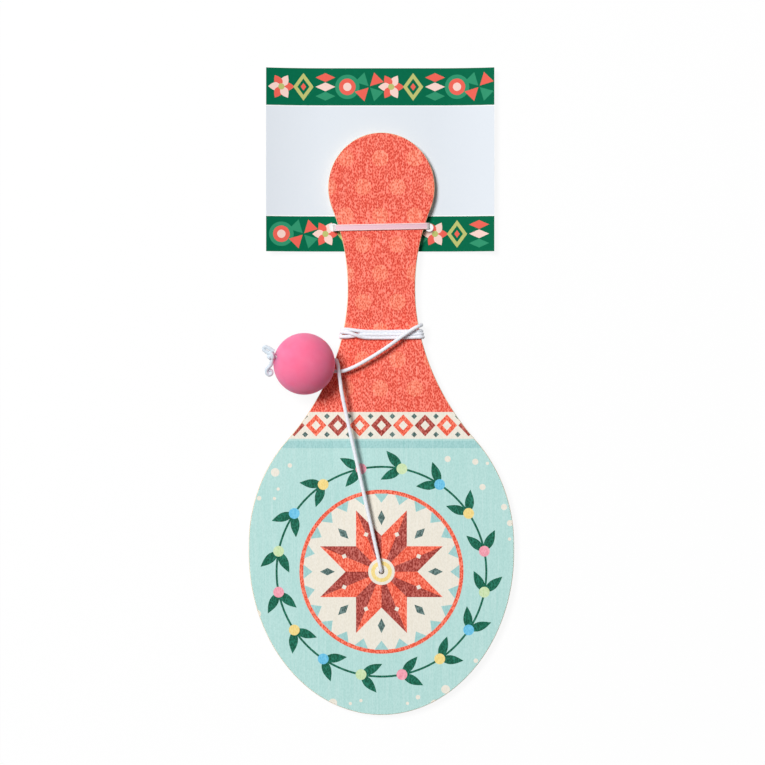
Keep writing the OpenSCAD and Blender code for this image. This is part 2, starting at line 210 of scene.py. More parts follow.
def windingPoints():
    w = winding
    midZ = (topZ + backZ) / 2
    halfHeight = (topZ - backZ) / 2 + w["faceGap"] + cord["diameter"] / 2
    bendZ = halfHeight - w["bendRadius"]
    points = []

    def bendX(y):
        return handleHalf(y) + w["edgeGap"] + cord["diameter"] / 2 - w["bendRadius"]

    def corner(side, level, first, y, out=0):
        for angle in (first, first + 30, first + 60, first + 90):
            a = math.radians(angle)
            points.append((side * (bendX(y) + out * abs(math.cos(a))) + w["bendRadius"] * math.cos(a), y,
                           midZ + level * bendZ + w["bendRadius"] * math.sin(a)))

    def behind(y0, y1):
        for i in range(1, w["flatSteps"]):
            s = i / w["flatSteps"]
            y = y0 + (y1 - y0) * s
            points.append((-bendX(y) * (1 - 2 * s), y, midZ - halfHeight))

    def across(y0, y1, strand):
        for i in range(1, w["flatSteps"]):
            s = i / w["flatSteps"]
            late = min(max((s - w["crossFrom"]) / (1 - w["crossFrom"]), 0), 1)
            y = y0 + (y1 - y0) * late * late * (3 - 2 * late)
            lift = w["crossLift"][strand] * math.exp(-((s - w["crossAt"]) / w["crossWidth"]) ** 2)
            lift += w["strandLift"][strand] * math.sin(math.pi * s)
            points.append((bendX(y) * (1 - 2 * s), y - w["sag"] * math.sin(math.pi * s),
                           midZ + halfHeight + lift))

    for turn, right in enumerate(w["rightY"]):
        corner(-1, 1, 90, w["leftUpY"][turn], w["leftOut"][turn])
        corner(-1, -1, 180, w["leftLowY"][turn], w["leftOut"][turn])
        behind(w["leftLowY"][turn], right)
        corner(1, -1, 270, right)
        if turn < len(w["rightY"]) - 1:
            corner(1, 1, 0, right)
            across(right, w["leftUpY"][turn + 1], turn)
    return points


def braidTree():
    # a braided tube along a curve: two sets of carriers cross, and their crowns stand proud
    tree = bpy.data.node_groups.new("braidedCord", "GeometryNodeTree")
    tree.interface.new_socket("Geometry", in_out="OUTPUT", socket_type="NodeSocketGeometry")
    for name, kind in (("Geometry", "Geometry"), ("Diameter", "Float"), ("Ring Spacing", "Float"),
                       ("Sides", "Int"), ("Carriers", "Int"), ("Braid Pitch", "Float"),
                       ("Braid Lift", "Float"), ("Material", "Material")):
        tree.interface.new_socket(name, in_out="INPUT", socket_type="NodeSocket" + kind)
    given = addNode(tree, "NodeGroupInput").outputs
    spline = addNode(tree, "GeometryNodeSplineParameter")
    path = addNode(tree, "GeometryNodeResampleCurve", {"mode": "LENGTH"},
                   {"Curve": given["Geometry"], "Length": given["Ring Spacing"]})
    path = addNode(tree, "GeometryNodeStoreNamedAttribute", {"data_type": "FLOAT", "domain": "POINT"},
                   {"Geometry": path.outputs[0], "Name": "along", "Value": spline.outputs["Length"]})
    half = addNode(tree, "ShaderNodeMath", {"operation": "MULTIPLY"}, {0: given["Diameter"], 1: 0.5})
    core = addNode(tree, "ShaderNodeMath", {"operation": "SUBTRACT"},
                   {0: half.outputs[0], 1: given["Braid Lift"]})
    ring = addNode(tree, "GeometryNodeCurvePrimitiveCircle", {"mode": "RADIUS"},
                   {"Resolution": given["Sides"], "Radius": core.outputs[0]})
    ring = addNode(tree, "GeometryNodeStoreNamedAttribute", {"data_type": "FLOAT", "domain": "POINT"},
                   {"Geometry": ring.outputs[0], "Name": "around", "Value": spline.outputs["Factor"]})
    tube = addNode(tree, "GeometryNodeCurveToMesh", None,
                   {"Curve": path.outputs[0], "Profile Curve": ring.outputs[0], "Fill Caps": True})
    along = addNode(tree, "GeometryNodeInputNamedAttribute", {"data_type": "FLOAT"}, {"Name": "along"})
    around = addNode(tree, "GeometryNodeInputNamedAttribute", {"data_type": "FLOAT"}, {"Name": "around"})
    turns = addNode(tree, "ShaderNodeMath", {"operation": "DIVIDE"},
                    {0: along.outputs[0], 1: given["Braid Pitch"]})
    carrier = addNode(tree, "ShaderNodeMath", {"operation": "MULTIPLY"},
                      {0: around.outputs[0], 1: given["Carriers"]})
    crowns = []
    for sign in ("ADD", "SUBTRACT"):  # the two ways that the carriers run
        phase = addNode(tree, "ShaderNodeMath", {"operation": sign},
                        {0: turns.outputs[0], 1: carrier.outputs[0]})
        angle = addNode(tree, "ShaderNodeMath", {"operation": "MULTIPLY"}, {0: phase.outputs[0], 1: math.pi})
        wave = addNode(tree, "ShaderNodeMath", {"operation": "SINE"}, {0: angle.outputs[0]})
        crowns.append(addNode(tree, "ShaderNodeMath", {"operation": "ABSOLUTE"}, {0: wave.outputs[0]}))
    crown = addNode(tree, "ShaderNodeMath", {"operation": "MAXIMUM"},
                    {0: crowns[0].outputs[0], 1: crowns[1].outputs[0]})
    lift = addNode(tree, "ShaderNodeMath", {"operation": "MULTIPLY"},
                   {0: crown.outputs[0], 1: given["Braid Lift"]})
    normal = addNode(tree, "GeometryNodeInputNormal")
    offset = addNode(tree, "ShaderNodeVectorMath", {"operation": "SCALE"},
                     {0: normal.outputs[0], "Scale": lift.outputs[0]})
    shaped = addNode(tree, "GeometryNodeSetPosition", None,
                     {"Geometry": tube.outputs[0], "Offset": offset.outputs[0]})
    marked = addNode(tree, "GeometryNodeStoreNamedAttribute", {"data_type": "FLOAT", "domain": "POINT"},
                     {"Geometry": shaped.outputs[0], "Name": "crown", "Value": crown.outputs[0]})
    smooth = addNode(tree, "GeometryNodeSetShadeSmooth", None, {0: marked.outputs[0]})
    real = addNode(tree, "GeometryNodeRealizeInstances", None, {0: smooth.outputs[0]})
    dressed = addNode(tree, "GeometryNodeSetMaterial", None,
                      {"Geometry": real.outputs[0], "Material": given["Material"]})
    addNode(tree, "NodeGroupOutput", None, {0: dressed.outputs[0]})
    return tree


def braidedTube(name, line, material, slimness=None):
    # runs the tree on a curve through the line and keeps the plain mesh
    data = bpy.data.curves.new(name + "Route", "CURVE")
    data.dimensions = "3D"
    spline = data.splines.new("POLY")
    spline.points.add(len(line) - 1)
    spline.points.foreach_set("co", np.c_[np.array(line) * mm, np.ones(len(line))].ravel())
    spline.points.foreach_set("radius", np.ones(len(line)) if slimness is None else np.array(slimness, float))
    route = bpy.data.objects.new(name + "Route", data)
    bpy.context.scene.collection.objects.link(route)
    modifier = route.modifiers.new("braid", "NODES")
    modifier.node_group = cordTree
    values = {"Diameter": cord["diameter"] * mm, "Ring Spacing": cord["ringSpacing"] * mm,
              "Sides": cord["sides"], "Carriers": cord["carriers"], "Braid Pitch": cord["braidPitch"] * mm,
              "Braid Lift": cord["braidLift"] * mm, "Material": material}
    for socket in cordTree.interface.items_tree:
        if socket.in_out == "INPUT" and socket.name in values:
            modifier[socket.identifier] = values[socket.name]
    done = route.evaluated_get(bpy.context.evaluated_depsgraph_get())
    mesh = bpy.data.meshes.new_from_object(done)
    mesh.name = name
    bpy.data.objects.remove(route)
    bpy.data.curves.remove(data)
    return mesh


def cottonBraid(name, paintedValleyShade, top):
    # bleached cotton braided over rubber: matt white and soft at the edges; the darker colour between the
    # crowns is painted shade in the braid's valleys
    material, tree = newMaterial(name)
    crown = addNode(tree, "ShaderNodeAttribute", {"attribute_name": "crown"})
    coords = addNode(tree, "ShaderNodeTexCoord")
    yarnWidth = 0.25 * mm
    yarn = addNode(tree, "ShaderNodeTexNoise", None,
                   {"Vector": coords.outputs["Object"], "Scale": 1 / yarnWidth, "Detail": 2})
    # the valley colour is painted shade, mixed in where the crowns fall away
    tone = addNode(tree, "ShaderNodeMix", {"data_type": "RGBA"},
                   {0: crown.outputs["Fac"], 6: linear(paintedValleyShade), 7: linear(top)})
    bump = addNode(tree, "ShaderNodeBump", None,
                   {"Strength": 0.25, "Distance": 0.05 * mm, "Height": yarn.outputs[0]})
    shader = addNode(tree, "ShaderNodeBsdfPrincipled", None, {
        "Base Color": tone.outputs[2], "Roughness": 0.85, "Sheen Weight": 0.2, "Sheen Roughness": 0.5,
        "Specular IOR Level": 0.25, "Normal": bump.outputs[0]})
    addNode(tree, "ShaderNodeOutputMaterial", None, {"Surface": shader.outputs[0]})
    return material


def lineLength(line):
    return float(np.linalg.norm(np.diff(line, axis=0), axis=1).sum())


def knotLine(seat, axis, radius, height, spin, start, end, steps=40):
    # an overhand knot: part of a trefoil round the axis
    axis = Vector(axis).normalized()
    across = axis.orthogonal().normalized()
    third = axis.cross(across)
    line = []
    for i in range(steps + 1):
        t = start + (end - start) * i / steps
        r = radius * (2 + math.cos(3 * t)) / 3
        a = 2 * t + spin
        line.append(Vector(seat) + across * (r * math.cos(a)) + third * (r * math.sin(a))
                    + axis * (height * math.sin(3 * t)))
    return line


cordTree = braidTree()
cordWhite = cottonBraid("bleachedCottonBraid", "#d8deeb", "#f4f6fb")
knotShadedBraid = cottonBraid("cottonBraidPaintedShade", "#c2cdd9", "#dce6ee")  # a darker grey-blue copy of the cord for the knot: painted shade

turns = windingPoints()
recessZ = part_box("anchor_knot")[1][2] / mm
holeStart = (0, holeAt[1], recessZ)
woundLine = smoothLine([holeStart, *runRoute, *turns])
runSteps = 8 * (len(runRoute) + 1)
woundSlim = np.interp(np.arange(len(woundLine)), (runSteps - 16, runSteps), (1, winding["stretched"]))
pastEdge = np.array([abs(x) - handleHalf(y) for x, y, _ in woundLine])
woundSlim[runSteps:] -= np.interp(pastEdge, (-3, 0), (0, winding["thinned"]))[runSteps:]
wound = addPiece("elasticCordWound", braidedTube("elasticCordWound", woundLine, cordWhite, woundSlim),
                 "paddle", ("cord_run", "cord_winding"))
leadLine = smoothLine([turns[-1], *leadRoute, tuple(bendAt)])
leadSlim = np.interp(np.arange(len(leadLine)), (0, 30), (winding["stretched"], 1))
lead = addPiece("elasticCordLead", braidedTube("elasticCordLead", leadLine, cordWhite, leadSlim),
                None, ("cord_lead",))
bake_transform(lead)

ballKnot = {"seatGap": 0.4, "radius": 1.75, "height": 0.75, "spin": 0.6, "middle": 1.7, "rooted": 0.6}
loopRoute = [  # mm from the knot's seat, as in the part's source
    (-0.1, 2.7, 0.9), (-1.6, 3.6, 0.8), (-3.2, 4.5, 0.5), (-4.3, 4.8, 0.3),
    (-4.9, 4.3, 0.1), (-5, 3.5, 0.1), (-4.2, 2.7, 0.2), (-2.7, 1.8, 0.4), (-1.3, 0.9, 0.5)]
tailRoute = [
    (-0.9, -0.9, 0.4), (-1.3, -2.4, 0.1), (-1.7, -3.8, -0.5), (-2.8, -4.9, -1),
    (-3.7, -6.1, -1.5), (-3.7, -7.6, -2), (-2.6, -8.5, -2.4), (-1.5, -7.9, -2.5), (-1.6, -6.7, -2.4),
    (-2.6, -6.2, -2)]

knotSeat = ballAt + boreDir * (ballRadius + ballKnot["seatGap"])
stretchLine = np.linspace(bendAt, knotSeat, 30)
stretch = addPiece("elasticCordStretch", braidedTube("elasticCordStretch", stretchLine, cordWhite),
                   None, ("ball_cord",))
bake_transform(stretch)

knotMiddle = knotSeat + boreDir * ballKnot["middle"]
knotTurns = knotLine(knotMiddle, boreDir, ballKnot["radius"], ballKnot["height"], ballKnot["spin"],
                     0.15 * math.pi, 1.95 * math.pi)
knotPath = [tuple(knotSeat - boreDir * ballKnot["rooted"]), *[tuple(p) for p in knotTurns]]
tailPath = [tuple(knotSeat + np.array(p)) for p in loopRoute + tailRoute]
knotBm = bmesh.new()
# the knot and its tails use the darker cord, which is painted shade
for path in (smoothLine(knotPath, 3), smoothLine(tailPath, 6)):
    part = braidedTube("knotPart", path, knotShadedBraid)
    knotBm.from_mesh(part)
    bpy.data.meshes.remove(part)
knotMesh = bpy.data.meshes.new("ballKnot")
knotBm.to_mesh(knotMesh)
knotBm.free()
knotMesh.materials.append(knotShadedBraid)
knot = addPiece("ballKnot", knotMesh, "ball_knot", ("ball_knot",))

anchor = {"radius": 1.95, "height": 0.8, "spin": 0.2, "middle": 1.7}
anchorTail = [(1.6, -86.2, 1.3), (3.4, -85.2, 1.2), (5.2, -84.6, 1.2), (7, -84.6, 1.2)]
anchorMiddle = np.array([holeAt[0], holeAt[1], recessZ - anchor["middle"]])
anchorTurns = knotLine(anchorMiddle, (0, 0, 1), anchor["radius"], anchor["height"], anchor["spin"],
                       0.2 * math.pi, 2.0 * math.pi)
anchorPath = [holeStart, *[tuple(p) for p in anchorTurns], *anchorTail]
addPiece("anchorKnot", braidedTube("anchorKnot", smoothLine(anchorPath, 3), cordWhite),
         "paddle", ("anchor_knot",))

round(lineLength(woundLine) * mm, 3)
round(lineLength(leadLine) * mm, 3)
round(lineLength(stretchLine) * mm, 3)
print("cord:", round(sum(lineLength(x) for x in (woundLine, leadLine, stretchLine))), "mm")


# Printing: flat shapes are cut into a sheet, and the last one drawn at a place gives its ink

def disc(x, y, r, steps=28):
    return [(x + r * math.cos(a), y + r * math.sin(a))
            for a in (2 * math.pi * i / steps for i in range(steps))]


def leaf(x, y, angle, length, width, steps=9):
    # two arcs from the stalk to the tip
    side = [(length * i / steps, width / 2 * math.sin(math.pi * (i / steps) ** 0.85))
            for i in range(steps + 1)]
    return turned(side[:1] + [(u, -v) for u, v in side[1:-1]] + side[:0:-1], angle, x, y)


def kite(x, y, w, h):
    return [(x - w / 2, y), (x, y - h / 2), (x + w / 2, y), (x, y + h / 2)]


def turned(points, angle, x=0, y=0):
    c, s = math.cos(angle), math.sin(angle)
    return [(x + c * u - s * v, y + s * u + c * v) for u, v in points]


def block(x0, y0, x1, y1):
    return [(x0, y0), (x1, y0), (x1, y1), (x0, y1)]


def edgeDistance(points, border):
    best = np.full(len(points), 1e9)
    for start, step in zip(border, np.roll(border, -1, axis=0) - border):
        t = np.clip(((points - start) @ step) / (step @ step), 0, 1)
        best = np.minimum(best, np.hypot(*(points - start - t[:, None] * step).T))
    return best


def inset(border, depth):
    ahead = np.roll(border, -1, axis=0) - np.roll(border, 1, axis=0)
    inwards = np.stack([-ahead[:, 1], ahead[:, 0]], axis=1)
    return border + depth * inwards / np.linalg.norm(inwards, axis=1)[:, None]


def printedSheet(name, border, holes, printArea, shapes, inks, upper, lower, materials):
    # border, holes and shapes in mm; upper and lower give the two faces' heights at points
    rings = [border, *holes, printArea, *[points for _, points in shapes]]
    starts = np.cumsum([0] + [len(r) for r in rings])
    flat = [Vector((float(x), float(y))) for r in rings for x, y in r]
    faces = [list(range(a, b)) for a, b in zip(starts[:-1], starts[1:])]
    verts, _, tris, _, _, origins = delaunay_2d_cdt(flat, [], faces, 1, 0.002)
    spots = np.array([tuple(v) for v in verts])
    firstShape = len(holes) + 2
    bm = bmesh.new()
    ink = bm.loops.layers.float_color.new("ink")
    overs = [bm.verts.new((*(p * mm), z * mm)) for p, z in zip(spots, upper(spots))]
    unders = [bm.verts.new((*(p * mm), z * mm)) for p, z in zip(spots, lower(spots))]
    rim = {}
    for tri, origin in zip(tris, origins):
        if 0 not in origin or any(0 < k <= len(holes) for k in origin):
            continue
        face = bm.faces.new([overs[i] for i in tri])
        bare = firstShape - 1 not in origin
        last = max(origin)
        face.material_index = 1 if bare else 0
        shade = inks[shapes[last - firstShape][0]] if last >= firstShape else inks["ground"]
        for loop in face.loops:
            loop[ink] = shade
        bm.faces.new([unders[i] for i in reversed(tri)]).material_index = 1
        for a, b in zip(tri, tri[1:] + tri[:1]):
            if (b, a) in rim:
                del rim[(b, a)]
            else:
                rim[(a, b)] = True
    for a, b in rim:
        bm.faces.new([overs[b], overs[a], unders[a], unders[b]]).material_index = 1
    bmesh.ops.delete(bm, geom=[v for v in bm.verts if not v.link_faces], context="VERTS")
    for face in bm.faces:
        face.smooth = True
    mesh = bpy.data.meshes.new(name)
    bm.to_mesh(mesh)
    bm.free()
    mesh.set_sharp_from_angle(angle=math.radians(40))
    for material in materials:
        mesh.materials.append(material)
    return mesh


# The paddle: three plies, the front one printed and sanded round at its edge

paddle = {"edgeRound": 0.4, "bareEdge": 0.24, "redEndY": -10.1, "recessRadius": 3.75}  # mm

paddleInks = {  # the alpha is how strongly the grain speckles the ink
    "ground": linear("#b9e1dc", 0.14), "red": linear("#ef614e", 1), "redDot": linear("#f97d63", 0.8),
    "coral": linear("#f4664c", 0.9), "darkRed": linear("#a9453c", 0.9), "cream": linear("#f1ebdd", 0.16),
    "teal": linear("#a4d3d1", 0.2), "slate": linear("#58726e", 0.7), "green": linear("#14634c", 0.5),
    "pink": linear("#f7a3b3", 0.3), "yellow": linear("#f7dd8d", 0.25), "blue": linear("#6fc6ea", 0.3),
    "lime": linear("#cfe6b4", 0.25)}


def polkaDots():
    # lighter dots in staggered rows on the red handle
    across, along, radius = 16.6, 13.85, 4.0
    for row in range(-1, 13):
        for column in range(-3, 4):
            x = -0.6 + across * (column + (0.5 if row % 2 else 0))
            y = 112.1 - along * row
            if y - radius > paddle["redEndY"] + 0.5:
                yield "redDot", disc(x, y, radius)


def lozengeBand():
    # a knitted-looking border under the red handle
    top, low = paddle["redEndY"], -27.5
    yield "cream", block(-70, low + 4.5, 70, top)
    yield "teal", block(-70, low, 70, low + 3.6)
    middle = (top + low + 4.5) / 2
    for i in range(-5, 6):
        yield ("coral" if i % 2 else "darkRed"), kite(10.5 * i, middle, 10, 10.6)
        yield "cream", kite(10.5 * i, middle, 4.4, 4.8)
        for level in (-4.4, 4.4):
            yield "slate", kite(10.5 * (i + 0.5), middle + level, 2.8, 2.8)


def starMedallion():
    # an eight-pointed quilt star on a cream round
    x, y = holeAt
    yield "coral", disc(x, y, 39.5, 96)
    yield "cream", disc(x, y, 37.6, 96)
    for i in range(24):
        a = 2 * math.pi * i / 24
        yield "teal", turned([(37.6, -3.4), (37.6, 3.4), (33.2, 0)], a, x, y)
    arm, spread = 32.0, math.radians(22.5)
    side = arm / (2 * math.cos(spread))
    for i in range(8):
        a = math.radians(45 * i + 22.5)
        tip = (arm, 0)
        left = (side * math.cos(spread), side * math.sin(spread))
        yield "coral", turned([(0, 0), tip, left], a, x, y)
        yield "darkRed", turned([(0, 0), (left[0], -left[1]), tip], a, x, y)
    for i in range(8):
        a = math.radians(45 * i)
        yield "slate", turned(kite(26, 0, 7.2, 3.6), a, x, y)
        yield "cream", turned(kite(19.4, 0, 2.6, 2.6), a + math.radians(22.5), x, y)
    yield "cream", disc(x, y, 6.4, 40)
    yield "yellow", disc(x, y, 5.0, 40)
    yield "cream", disc(x, y, 3.2, 32)


def berryWreath():
    # pairs of leaves along a stem, with a berry at each pair
    x, y = holeAt
    radius, pairs = 50.5, 16
    berries = ("pink", "yellow", "blue", "lime")
    yield "green", disc(x, y, radius + 0.5, 120)
    yield "ground", disc(x, y, radius - 0.5, 120)
    for i in range(pairs):
        a = 2 * math.pi * (i + 0.5) / pairs
        bx, by = x + radius * math.cos(a), y + radius * math.sin(a)
        for lean in (38, -38):
            yield "green", leaf(bx, by, a + math.pi / 2 + math.radians(lean), 11.5, 4.4)
    for i in range(pairs):
        a = 2 * math.pi * (i + 0.5) / pairs
        bx, by = x + radius * math.cos(a), y + radius * math.sin(a)
        yield berries[i % 4], disc(bx, by, 2.6, 24)


def strewnDots():
    # cream dots where the wreath leaves room
    random.seed(11)
    placed = []
    while len(placed) < 46:
        x, y, r = random.uniform(-62, 62), random.uniform(-152, -31), random.choice((0.8, 1.1, 1.5, 2.1))
        away = math.hypot(x - holeAt[0], y - holeAt[1])
        if away < 62 and not 41 < away < 42:
            continue
        if all(math.hypot(x - a, y - b) > r + c + 3.2 for a, b, c in placed):
            placed.append((x, y, r))
    for x, y, r in placed:
        yield "cream", disc(x, y, r, 18)


def basswoodPrint():
    # water-based ink on sanded basswood: matt, with the pores breaking up the strong inks
    material, tree = newMaterial("inkOnBasswood")
    coords = addNode(tree, "ShaderNodeTexCoord")
    ink = addNode(tree, "ShaderNodeAttribute", {"attribute_name": "ink"})
    pores = addNode(tree, "ShaderNodeMapping", None,
                    {"Vector": coords.outputs["Object"], "Scale": (1 / (0.6 * mm), 1 / (1.1 * mm), 1 / mm)})
    cells = addNode(tree, "ShaderNodeTexVoronoi", {"feature": "F1"}, {"Vector": pores.outputs[0], "Scale": 1})
    fibres = addNode(tree, "ShaderNodeMapping", None,
                     {"Vector": coords.outputs["Object"], "Scale": (1 / (0.8 * mm), 1 / (22 * mm), 1 / mm)})
    streak = addNode(tree, "ShaderNodeTexNoise", None,
                     {"Vector": fibres.outputs[0], "Scale": 1, "Detail": 3, "Roughness": 0.6})
    spread = addNode(tree, "ShaderNodeMapRange", None,
                     {0: cells.outputs["Distance"], 1: 0.2, 2: 0.72, 3: -0.75, 4: 0.75})
    strength = addNode(tree, "ShaderNodeMath", {"operation": "MULTIPLY"},
                       {0: spread.outputs[0], 1: ink.outputs["Alpha"]})
    lines = addNode(tree, "ShaderNodeMapRange", {"clamp": False},
                    {0: streak.outputs[0], 1: 0.5, 2: 0.75, 3: 0, 4: 0.14})
    both = addNode(tree, "ShaderNodeMath", {"operation": "MULTIPLY_ADD"},
                   {0: strength.outputs[0], 1: -0.42, 2: 1})
    gamma = addNode(tree, "ShaderNodeMath", {"operation": "ADD"}, {0: both.outputs[0], 1: lines.outputs[0]})
    tone = addNode(tree, "ShaderNodeGamma", None, {"Color": ink.outputs["Color"], "Gamma": gamma.outputs[0]})
    depth = addNode(tree, "ShaderNodeMath", {"operation": "MULTIPLY_ADD"},
                    {0: strength.outputs[0], 1: 0.27, 2: 0.97})
    tone = addNode(tree, "ShaderNodeVectorMath", {"operation": "SCALE"},
                   {0: tone.outputs[0], "Scale": depth.outputs[0]})
    relief = addNode(tree, "ShaderNodeMath", {"operation": "ADD"},
                     {0: cells.outputs["Distance"], 1: streak.outputs[0]})
    bump = addNode(tree, "ShaderNodeBump", None,
                   {"Strength": 0.2, "Distance": 0.06 * mm, "Height": relief.outputs[0]})
    shader = addNode(tree, "ShaderNodeBsdfPrincipled", None, {
        "Base Color": tone.outputs[0], "Roughness": 0.7, "Specular IOR Level": 0.2,
        "Normal": bump.outputs[0]})
    addNode(tree, "ShaderNodeOutputMaterial", None, {"Surface": shader.outputs[0]})
    return material


def bareBasswood(name, grainAcross):
    # sanded basswood veneer: pale tan, fine straight grain along or across the paddle
    material, tree = newMaterial(name)
    coords = addNode(tree, "ShaderNodeTexCoord")
    fine, long = 1 / (0.5 * mm), 1 / (14 * mm)  # grain lines 0.5 mm wide, 14 mm long
    scale = (long, fine, fine) if grainAcross else (fine, long, fine)
    fibres = addNode(tree, "ShaderNodeMapping", None, {"Vector": coords.outputs["Object"], "Scale": scale})
    grain = addNode(tree, "ShaderNodeTexNoise", None,
                    {"Vector": fibres.outputs[0], "Scale": 1, "Detail": 4, "Roughness": 0.6})
    tone = addNode(tree, "ShaderNodeValToRGB", None, {0: grain.outputs[0]})
    tone.color_ramp.elements[0].position = 0.3
    tone.color_ramp.elements[0].color = linear("#c49f6c" if grainAcross else "#d8b98c")
    tone.color_ramp.elements[1].position = 0.7
    tone.color_ramp.elements[1].color = linear("#dcc095" if grainAcross else "#efdcb9")
    bump = addNode(tree, "ShaderNodeBump", None,
                   {"Strength": 0.3, "Distance": 0.08 * mm, "Height": grain.outputs[0]})
    shader = addNode(tree, "ShaderNodeBsdfPrincipled", None, {
        "Base Color": tone.outputs[0], "Roughness": 0.75, "Specular IOR Level": 0.25,
        "Normal": bump.outputs[0]})
    addNode(tree, "ShaderNodeOutputMaterial", None, {"Surface": shader.outputs[0]})
    return material


def makePaddle():
    edge = paddle["edgeRound"]
    inkWood = basswoodPrint()
    bareWood = bareBasswood("sandedBasswood", False)
    coreWood = bareBasswood("crossGrainBasswood", True)
    hole = paddleLoops[1]

    def rounded(level, way):
        def height(spots):
            depth = np.clip(edge - edgeDistance(spots, outline), 0, edge)
            return level - way * (edge - np.sqrt(edge ** 2 - depth ** 2))
        return height

    def flat(level):
        return lambda spots: np.full(len(spots), level)

    bands = [("bare", inset(outline, d)) for d in (0.08, 0.2, edge, edge + 0.2)]
    red = ("red", block(-80, paddle["redEndY"], 80, 140))
    shapes = [("ground", points) for _, points in bands]
    shapes += [*strewnDots(), *berryWreath(), *starMedallion(), *lozengeBand(), red, *polkaDots()]
    printArea = inset(outline, paddle["bareEdge"])
    front = printedSheet("paddleFront", outline, [hole], printArea, shapes, paddleInks,
                         rounded(topZ, 1), flat(frontBox[0][2]), (inkWood, bareWood))
    addPiece("paddleFront", front, "paddle", ("paddle_front_ply",))
    recess = disc(*holeAt, paddle["recessRadius"], 40)
    under = printedSheet("paddleBack", outline, [recess], outline, [("bare", p) for _, p in bands],
                         {"bare": linear("#ffffff"), "ground": linear("#ffffff")},
                         flat(backBox[1][2]), rounded(backZ, -1), (bareWood, bareWood))
    addPiece("paddleBack", under, "paddle", ("paddle_back_ply",))
    core = frame["nodes"]["paddle_core_ply"]
    core.data.materials.clear()
    core.data.materials.append(coreWood)
    print("paddle:", len(front.polygons), "faces in the printed ply")


makePaddle()


# The card behind the handle, curled up at its sides

card = {"thick": 0.4, "topBand": 18.0, "lowBand": 17.0, "whiteLine": 0.5, "stripWidth": 2.5}  # mm

cardInks = {
    "ground": linear("#e2e8ef", 1), "white": linear("#f8fafb", 1), "green": linear("#046949", 1),
    "midGreen": linear("#32936d", 1), "sage": linear("#bcc174", 1), "coral": linear("#ec6557", 1),
    "blush": linear("#f6d3c9", 1)}


def cardCurl():
    # height of the card's upper face across its width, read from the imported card
    spots = np.array([v.co for v in frame["nodes"]["card"].data.vertices]) / mm
    levels = {}
    for x, _, z in spots:
        key = round(float(x), 2)
        levels[key] = max(levels.get(key, -1), float(z))
    xs = sorted(levels)
    return np.array(xs), np.array([levels[x] for x in xs])


def bandMotifs(x0, x1, middle, first):
    # plain ornaments in a close row: rosettes, lozenges, stacked lozenges, rounds and fans
    count = 10
    pitch = (x1 - x0) / count
    for i in range(count):
        x = x0 + pitch * (i + 0.5)
        kind = (i + first) % 5
        if kind == 0:
            for k in range(6):
                yield ("blush" if k % 2 else "coral"), leaf(x, middle, math.pi * k / 3, 6.3, 4.0)
            yield "sage", disc(x, middle, 1.5, 16)
        elif kind == 1:
            yield "sage", kite(x, middle, 9.8, 13.4)
            yield "green", kite(x, middle, 5.8, 8.0)
            yield "coral", kite(x, middle, 2.6, 3.6)
        elif kind == 2:
            for level, ink in ((-4.5, "midGreen"), (0, "blush"), (4.5, "coral")):
                yield ink, kite(x, middle + level, 9.6, 4.3)
        elif kind == 3:
            yield "midGreen", disc(x, middle, 5.9, 36)
            yield "coral", disc(x, middle, 4.0, 30)
            yield "blush", disc(x, middle, 2.0, 24)
        else:
            for k in range(4):
                yield ("coral", "midGreen")[k % 2], turned(
                    [(0.5, 0), (6.6, -3.3), (6.6, 3.3)], math.pi * (k / 2 + 0.25), x, middle)


def coatedBoard():
    # offset print on coated board: clean inks, a faint satin gloss and paper tooth
    material, tree = newMaterial("coatedCardboard")
    coords = addNode(tree, "ShaderNodeTexCoord")
    ink = addNode(tree, "ShaderNodeAttribute", {"attribute_name": "ink"})
    tooth = addNode(tree, "ShaderNodeTexNoise", None,
                    {"Vector": coords.outputs["Object"], "Scale": 1 / (1.4 * mm), "Detail": 4})
    mottle = addNode(tree, "ShaderNodeMapRange", None,
                     {0: tooth.outputs[0], 1: 0.3, 2: 0.7, 3: 1.02, 4: 0.98})
    tone = addNode(tree, "ShaderNodeGamma", None,
                   {"Color": ink.outputs["Color"], "Gamma": mottle.outputs[0]})
    bump = addNode(tree, "ShaderNodeBump", None,
                   {"Strength": 0.12, "Distance": 0.03 * mm, "Height": tooth.outputs[0]})
    shader = addNode(tree, "ShaderNodeBsdfPrincipled", None, {
        "Base Color": tone.outputs[0], "Roughness": 0.6, "Specular IOR Level": 0.03,
        "Normal": bump.outputs[0]})
    addNode(tree, "ShaderNodeOutputMaterial", None, {"Surface": shader.outputs[0]})
    return material


def plainBoard():
    # the card's uncoated back and cut edges: white pulp with grey fibres
    material, tree = newMaterial("uncoatedBoard")
    coords = addNode(tree, "ShaderNodeTexCoord")
    pulp = addNode(tree, "ShaderNodeTexNoise", None,
                   {"Vector": coords.outputs["Object"], "Scale": 1 / (0.7 * mm), "Detail": 5})
    tone = addNode(tree, "ShaderNodeMix", {"data_type": "RGBA"},
                   {0: pulp.outputs[0], 6: linear("#d9d8d4"), 7: linear("#f4f3ef")})
    shader = addNode(tree, "ShaderNodeBsdfPrincipled", None,
                     {"Base Color": tone.outputs[2], "Roughness": 0.85, "Specular IOR Level": 0.2})
    addNode(tree, "ShaderNodeOutputMaterial", None, {"Surface": shader.outputs[0]})
    return material


